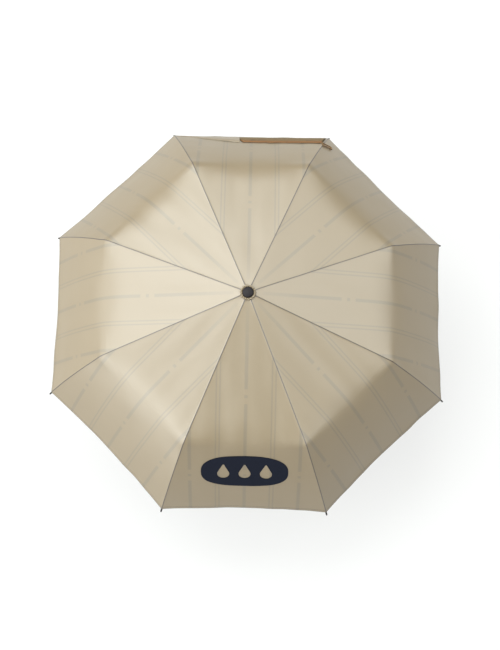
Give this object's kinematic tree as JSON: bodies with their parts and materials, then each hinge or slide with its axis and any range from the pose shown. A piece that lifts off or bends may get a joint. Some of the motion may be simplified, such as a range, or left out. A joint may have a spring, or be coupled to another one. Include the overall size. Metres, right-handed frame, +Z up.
{
  "type": "folding umbrella",
  "caption": "Open compact folding umbrella: octagonal fabric canopy on hinged folding ribs, telescoping shaft, sliding runner and a straight grip.",
  "frame": {"origin": "centre of the handle's flat bottom end, on the shaft's axis", "axes": "+Z up the shaft to the cap; the tie strap lies on the +Y side, the printed panel faces -Y; ribs every 45 degrees from 22.5 degrees off +X"},
  "size_m": [0.8852, 0.8852, 0.5738],
  "materials": {
    "pongee_beige": "satin-sheened woven pongee with faint grey stripes",
    "plastic_charcoal": "fine matte",
    "steel_bright": "bright nickel plate",
    "steel_black": "black zinc plate",
    "strap_tan": "woven tape",
    "elastic_brown": "braided elastic"
  },
  "bodies": {
    "handle": {"handle": "plastic_charcoal", "handle_end_cap": "plastic_charcoal", "shaft_lower": "steel_bright"},
    "shaft_middle": {"shaft_middle": "steel_bright"},
    "shaft_top": {"shaft_top": "steel_bright", "crown": "plastic_charcoal", "top_cap": "plastic_charcoal", "canopy": "pongee_beige", "closure_strap": "strap_tan", "strap_loop": "elastic_brown"},
    "runner": {"runner": "plastic_charcoal"},
    "runner_button": {"runner_button": "plastic_charcoal"},
    "inner_rib_1": {"inner_rib_1": "steel_black"},
    "middle_rib_1": {"middle_rib_1": "steel_black"},
    "outer_rib_1": {"outer_rib_1": "steel_bright", "rib_tip_1": "plastic_charcoal"},
    "stretcher_1": {"stretcher_1": "steel_black"},
    "link_1": {"link_1": "steel_bright"},
    "inner_rib_2": {"inner_rib_2": "steel_black"},
    "middle_rib_2": {"middle_rib_2": "steel_black"},
    "outer_rib_2": {"outer_rib_2": "steel_bright", "rib_tip_2": "plastic_charcoal"},
    "stretcher_2": {"stretcher_2": "steel_black"},
    "link_2": {"link_2": "steel_bright"},
    "inner_rib_3": {"inner_rib_3": "steel_black"},
    "middle_rib_3": {"middle_rib_3": "steel_black"},
    "outer_rib_3": {"outer_rib_3": "steel_bright", "rib_tip_3": "plastic_charcoal"},
    "stretcher_3": {"stretcher_3": "steel_black"},
    "link_3": {"link_3": "steel_bright"},
    "inner_rib_4": {"inner_rib_4": "steel_black"},
    "middle_rib_4": {"middle_rib_4": "steel_black"},
    "outer_rib_4": {"outer_rib_4": "steel_bright", "rib_tip_4": "plastic_charcoal"},
    "stretcher_4": {"stretcher_4": "steel_black"},
    "link_4": {"link_4": "steel_bright"},
    "inner_rib_5": {"inner_rib_5": "steel_black"},
    "middle_rib_5": {"middle_rib_5": "steel_black"},
    "outer_rib_5": {"outer_rib_5": "steel_bright", "rib_tip_5": "plastic_charcoal"},
    "stretcher_5": {"stretcher_5": "steel_black"},
    "link_5": {"link_5": "steel_bright"},
    "inner_rib_6": {"inner_rib_6": "steel_black"},
    "middle_rib_6": {"middle_rib_6": "steel_black"},
    "outer_rib_6": {"outer_rib_6": "steel_bright", "rib_tip_6": "plastic_charcoal"},
    "stretcher_6": {"stretcher_6": "steel_black"},
    "link_6": {"link_6": "steel_bright"},
    "inner_rib_7": {"inner_rib_7": "steel_black"},
    "middle_rib_7": {"middle_rib_7": "steel_black"},
    "outer_rib_7": {"outer_rib_7": "steel_bright", "rib_tip_7": "plastic_charcoal"},
    "stretcher_7": {"stretcher_7": "steel_black"},
    "link_7": {"link_7": "steel_bright"},
    "inner_rib_8": {"inner_rib_8": "steel_black"},
    "middle_rib_8": {"middle_rib_8": "steel_black"},
    "outer_rib_8": {"outer_rib_8": "steel_bright", "rib_tip_8": "plastic_charcoal"},
    "stretcher_8": {"stretcher_8": "steel_black"},
    "link_8": {"link_8": "steel_bright"}
  },
  "joints": [
    {"name": "shaft_lower_slide", "type": "slide", "parent": "handle", "child": "shaft_middle", "axis": [0, 0, 1], "range_m": [-0.148, 0]},
    {"name": "shaft_upper_slide", "type": "slide", "parent": "shaft_middle", "child": "shaft_top", "axis": [0, 0, 1], "range_m": [-0.152, 0]},
    {"name": "canopy_fold", "type": "hinge", "parent": "shaft_top", "child": "inner_rib_1", "pos_m": [0.0097, 0.00402, 0.562], "axis": [-0.3827, 0.9239, 0], "range_deg": [0, 77.4], "deforming": ["canopy", "closure_strap", "strap_loop"]},
    {"name": "middle_rib_1_hinge", "type": "hinge", "parent": "inner_rib_1", "child": "middle_rib_1", "pos_m": [0.16062, 0.06653, 0.5324], "axis": [-0.3827, 0.9239, 0], "range_deg": [-180, 0]},
    {"name": "outer_rib_1_hinge", "type": "hinge", "parent": "middle_rib_1", "child": "outer_rib_1", "pos_m": [0.31026, 0.12851, 0.49573], "axis": [-0.3827, 0.9239, 0], "range_deg": [0, 143.1]},
    {"name": "stretcher_1_hinge", "type": "hinge", "parent": "inner_rib_1", "child": "stretcher_1", "pos_m": [0.06218, 0.02575, 0.55024], "axis": [-0.3827, 0.9239, 0], "range_deg": [-109.75, 0]},
    {"name": "link_1_hinge", "type": "hinge", "parent": "stretcher_1", "child": "link_1", "pos_m": [0.05607, 0.02323, 0.54023], "axis": [-0.3827, 0.9239, 0], "range_deg": [0, 112.15]},
    {"name": "inner_rib_2_hinge", "type": "hinge", "parent": "shaft_top", "child": "inner_rib_2", "pos_m": [0.00402, 0.0097, 0.562], "axis": [-0.9239, 0.3827, 0], "range_deg": [0, 77.4]},
    {"name": "middle_rib_2_hinge", "type": "hinge", "parent": "inner_rib_2", "child": "middle_rib_2", "pos_m": [0.06653, 0.16062, 0.5324], "axis": [-0.9239, 0.3827, 0], "range_deg": [-180, 0]},
    {"name": "outer_rib_2_hinge", "type": "hinge", "parent": "middle_rib_2", "child": "outer_rib_2", "pos_m": [0.12851, 0.31026, 0.49573], "axis": [-0.9239, 0.3827, 0], "range_deg": [0, 143.1]},
    {"name": "stretcher_2_hinge", "type": "hinge", "parent": "inner_rib_2", "child": "stretcher_2", "pos_m": [0.02575, 0.06218, 0.55024], "axis": [-0.9239, 0.3827, 0], "range_deg": [-109.75, 0]},
    {"name": "link_2_hinge", "type": "hinge", "parent": "stretcher_2", "child": "link_2", "pos_m": [0.02323, 0.05607, 0.54023], "axis": [-0.9239, 0.3827, 0], "range_deg": [0, 112.15]},
    {"name": "inner_rib_3_hinge", "type": "hinge", "parent": "shaft_top", "child": "inner_rib_3", "pos_m": [-0.00402, 0.0097, 0.562], "axis": [-0.9239, -0.3827, 0], "range_deg": [0, 77.4]},
    {"name": "middle_rib_3_hinge", "type": "hinge", "parent": "inner_rib_3", "child": "middle_rib_3", "pos_m": [-0.06653, 0.16062, 0.5324], "axis": [-0.9239, -0.3827, 0], "range_deg": [-180, 0]},
    {"name": "outer_rib_3_hinge", "type": "hinge", "parent": "middle_rib_3", "child": "outer_rib_3", "pos_m": [-0.12851, 0.31026, 0.49573], "axis": [-0.9239, -0.3827, 0], "range_deg": [0, 143.1]},
    {"name": "stretcher_3_hinge", "type": "hinge", "parent": "inner_rib_3", "child": "stretcher_3", "pos_m": [-0.02575, 0.06218, 0.55024], "axis": [-0.9239, -0.3827, 0], "range_deg": [-109.75, 0]},
    {"name": "link_3_hinge", "type": "hinge", "parent": "stretcher_3", "child": "link_3", "pos_m": [-0.02323, 0.05607, 0.54023], "axis": [-0.9239, -0.3827, 0], "range_deg": [0, 112.15]},
    {"name": "inner_rib_4_hinge", "type": "hinge", "parent": "shaft_top", "child": "inner_rib_4", "pos_m": [-0.0097, 0.00402, 0.562], "axis": [-0.3827, -0.9239, 0], "range_deg": [0, 77.4]},
    {"name": "middle_rib_4_hinge", "type": "hinge", "parent": "inner_rib_4", "child": "middle_rib_4", "pos_m": [-0.16062, 0.06653, 0.5324], "axis": [-0.3827, -0.9239, 0], "range_deg": [-180, 0]},
    {"name": "outer_rib_4_hinge", "type": "hinge", "parent": "middle_rib_4", "child": "outer_rib_4", "pos_m": [-0.31026, 0.12851, 0.49573], "axis": [-0.3827, -0.9239, 0], "range_deg": [0, 143.1]},
    {"name": "stretcher_4_hinge", "type": "hinge", "parent": "inner_rib_4", "child": "stretcher_4", "pos_m": [-0.06218, 0.02575, 0.55024], "axis": [-0.3827, -0.9239, 0], "range_deg": [-109.75, 0]},
    {"name": "link_4_hinge", "type": "hinge", "parent": "stretcher_4", "child": "link_4", "pos_m": [-0.05607, 0.02323, 0.54023], "axis": [-0.3827, -0.9239, 0], "range_deg": [0, 112.15]},
    {"name": "inner_rib_5_hinge", "type": "hinge", "parent": "shaft_top", "child": "inner_rib_5", "pos_m": [-0.0097, -0.00402, 0.562], "axis": [0.3827, -0.9239, 0], "range_deg": [0, 77.4]},
    {"name": "middle_rib_5_hinge", "type": "hinge", "parent": "inner_rib_5", "child": "middle_rib_5", "pos_m": [-0.16062, -0.06653, 0.5324], "axis": [0.3827, -0.9239, 0], "range_deg": [-180, 0]},
    {"name": "outer_rib_5_hinge", "type": "hinge", "parent": "middle_rib_5", "child": "outer_rib_5", "pos_m": [-0.31026, -0.12851, 0.49573], "axis": [0.3827, -0.9239, 0], "range_deg": [0, 143.1]},
    {"name": "stretcher_5_hinge", "type": "hinge", "parent": "inner_rib_5", "child": "stretcher_5", "pos_m": [-0.06218, -0.02575, 0.55024], "axis": [0.3827, -0.9239, 0], "range_deg": [-109.75, 0]},
    {"name": "link_5_hinge", "type": "hinge", "parent": "stretcher_5", "child": "link_5", "pos_m": [-0.05607, -0.02323, 0.54023], "axis": [0.3827, -0.9239, 0], "range_deg": [0, 112.15]},
    {"name": "inner_rib_6_hinge", "type": "hinge", "parent": "shaft_top", "child": "inner_rib_6", "pos_m": [-0.00402, -0.0097, 0.562], "axis": [0.9239, -0.3827, 0], "range_deg": [0, 77.4]},
    {"name": "middle_rib_6_hinge", "type": "hinge", "parent": "inner_rib_6", "child": "middle_rib_6", "pos_m": [-0.06653, -0.16062, 0.5324], "axis": [0.9239, -0.3827, 0], "range_deg": [-180, 0]},
    {"name": "outer_rib_6_hinge", "type": "hinge", "parent": "middle_rib_6", "child": "outer_rib_6", "pos_m": [-0.12851, -0.31026, 0.49573], "axis": [0.9239, -0.3827, 0], "range_deg": [0, 143.1]},
    {"name": "stretcher_6_hinge", "type": "hinge", "parent": "inner_rib_6", "child": "stretcher_6", "pos_m": [-0.02575, -0.06218, 0.55024], "axis": [0.9239, -0.3827, 0], "range_deg": [-109.75, 0]},
    {"name": "link_6_hinge", "type": "hinge", "parent": "stretcher_6", "child": "link_6", "pos_m": [-0.02323, -0.05607, 0.54023], "axis": [0.9239, -0.3827, 0], "range_deg": [0, 112.15]},
    {"name": "inner_rib_7_hinge", "type": "hinge", "parent": "shaft_top", "child": "inner_rib_7", "pos_m": [0.00402, -0.0097, 0.562], "axis": [0.9239, 0.3827, 0], "range_deg": [0, 77.4]},
    {"name": "middle_rib_7_hinge", "type": "hinge", "parent": "inner_rib_7", "child": "middle_rib_7", "pos_m": [0.06653, -0.16062, 0.5324], "axis": [0.9239, 0.3827, 0], "range_deg": [-180, 0]},
    {"name": "outer_rib_7_hinge", "type": "hinge", "parent": "middle_rib_7", "child": "outer_rib_7", "pos_m": [0.12851, -0.31026, 0.49573], "axis": [0.9239, 0.3827, 0], "range_deg": [0, 143.1]},
    {"name": "stretcher_7_hinge", "type": "hinge", "parent": "inner_rib_7", "child": "stretcher_7", "pos_m": [0.02575, -0.06218, 0.55024], "axis": [0.9239, 0.3827, 0], "range_deg": [-109.75, 0]},
    {"name": "link_7_hinge", "type": "hinge", "parent": "stretcher_7", "child": "link_7", "pos_m": [0.02323, -0.05607, 0.54023], "axis": [0.9239, 0.3827, 0], "range_deg": [0, 112.15]},
    {"name": "inner_rib_8_hinge", "type": "hinge", "parent": "shaft_top", "child": "inner_rib_8", "pos_m": [0.0097, -0.00402, 0.562], "axis": [0.3827, 0.9239, 0], "range_deg": [0, 77.4]},
    {"name": "middle_rib_8_hinge", "type": "hinge", "parent": "inner_rib_8", "child": "middle_rib_8", "pos_m": [0.16062, -0.06653, 0.5324], "axis": [0.3827, 0.9239, 0], "range_deg": [-180, 0]},
    {"name": "outer_rib_8_hinge", "type": "hinge", "parent": "middle_rib_8", "child": "outer_rib_8", "pos_m": [0.31026, -0.12851, 0.49573], "axis": [0.3827, 0.9239, 0], "range_deg": [0, 143.1]},
    {"name": "stretcher_8_hinge", "type": "hinge", "parent": "inner_rib_8", "child": "stretcher_8", "pos_m": [0.06218, -0.02575, 0.55024], "axis": [0.3827, 0.9239, 0], "range_deg": [-109.75, 0]},
    {"name": "link_8_hinge", "type": "hinge", "parent": "stretcher_8", "child": "link_8", "pos_m": [0.05607, -0.02323, 0.54023], "axis": [0.3827, 0.9239, 0], "range_deg": [0, 112.15]},
    {"name": "runner_slide", "type": "slide", "parent": "shaft_top", "child": "runner", "axis": [0, 0, 1], "range_m": [-0.06356, 0]},
    {"name": "runner_button_press", "type": "slide", "parent": "runner", "child": "runner_button", "axis": [-1, 0, 0], "range_m": [0, 0.0015], "stiffness_N_per_m": 400, "springref_m": -0.001}
  ],
  "couplings": [
    {"joint": "middle_rib_1_hinge", "follows": "canopy_fold", "ratio": -2.3256},
    {"joint": "outer_rib_1_hinge", "follows": "canopy_fold", "ratio": 1.8488},
    {"joint": "stretcher_1_hinge", "follows": "canopy_fold", "ratio": -1.418},
    {"joint": "link_1_hinge", "follows": "canopy_fold", "ratio": 1.449},
    {"joint": "inner_rib_2_hinge", "follows": "canopy_fold", "ratio": 1},
    {"joint": "middle_rib_2_hinge", "follows": "canopy_fold", "ratio": -2.3256},
    {"joint": "outer_rib_2_hinge", "follows": "canopy_fold", "ratio": 1.8488},
    {"joint": "stretcher_2_hinge", "follows": "canopy_fold", "ratio": -1.418},
    {"joint": "link_2_hinge", "follows": "canopy_fold", "ratio": 1.449},
    {"joint": "inner_rib_3_hinge", "follows": "canopy_fold", "ratio": 1},
    {"joint": "middle_rib_3_hinge", "follows": "canopy_fold", "ratio": -2.3256},
    {"joint": "outer_rib_3_hinge", "follows": "canopy_fold", "ratio": 1.8488},
    {"joint": "stretcher_3_hinge", "follows": "canopy_fold", "ratio": -1.418},
    {"joint": "link_3_hinge", "follows": "canopy_fold", "ratio": 1.449},
    {"joint": "inner_rib_4_hinge", "follows": "canopy_fold", "ratio": 1},
    {"joint": "middle_rib_4_hinge", "follows": "canopy_fold", "ratio": -2.3256},
    {"joint": "outer_rib_4_hinge", "follows": "canopy_fold", "ratio": 1.8488},
    {"joint": "stretcher_4_hinge", "follows": "canopy_fold", "ratio": -1.418},
    {"joint": "link_4_hinge", "follows": "canopy_fold", "ratio": 1.449},
    {"joint": "inner_rib_5_hinge", "follows": "canopy_fold", "ratio": 1},
    {"joint": "middle_rib_5_hinge", "follows": "canopy_fold", "ratio": -2.3256},
    {"joint": "outer_rib_5_hinge", "follows": "canopy_fold", "ratio": 1.8488},
    {"joint": "stretcher_5_hinge", "follows": "canopy_fold", "ratio": -1.418},
    {"joint": "link_5_hinge", "follows": "canopy_fold", "ratio": 1.449},
    {"joint": "inner_rib_6_hinge", "follows": "canopy_fold", "ratio": 1},
    {"joint": "middle_rib_6_hinge", "follows": "canopy_fold", "ratio": -2.3256},
    {"joint": "outer_rib_6_hinge", "follows": "canopy_fold", "ratio": 1.8488},
    {"joint": "stretcher_6_hinge", "follows": "canopy_fold", "ratio": -1.418},
    {"joint": "link_6_hinge", "follows": "canopy_fold", "ratio": 1.449},
    {"joint": "inner_rib_7_hinge", "follows": "canopy_fold", "ratio": 1},
    {"joint": "middle_rib_7_hinge", "follows": "canopy_fold", "ratio": -2.3256},
    {"joint": "outer_rib_7_hinge", "follows": "canopy_fold", "ratio": 1.8488},
    {"joint": "stretcher_7_hinge", "follows": "canopy_fold", "ratio": -1.418},
    {"joint": "link_7_hinge", "follows": "canopy_fold", "ratio": 1.449},
    {"joint": "inner_rib_8_hinge", "follows": "canopy_fold", "ratio": 1},
    {"joint": "middle_rib_8_hinge", "follows": "canopy_fold", "ratio": -2.3256},
    {"joint": "outer_rib_8_hinge", "follows": "canopy_fold", "ratio": 1.8488},
    {"joint": "stretcher_8_hinge", "follows": "canopy_fold", "ratio": -1.418},
    {"joint": "link_8_hinge", "follows": "canopy_fold", "ratio": 1.449},
    {"joint": "runner_slide", "follows": "canopy_fold", "m_per_rad": -0.04705}
  ]
}
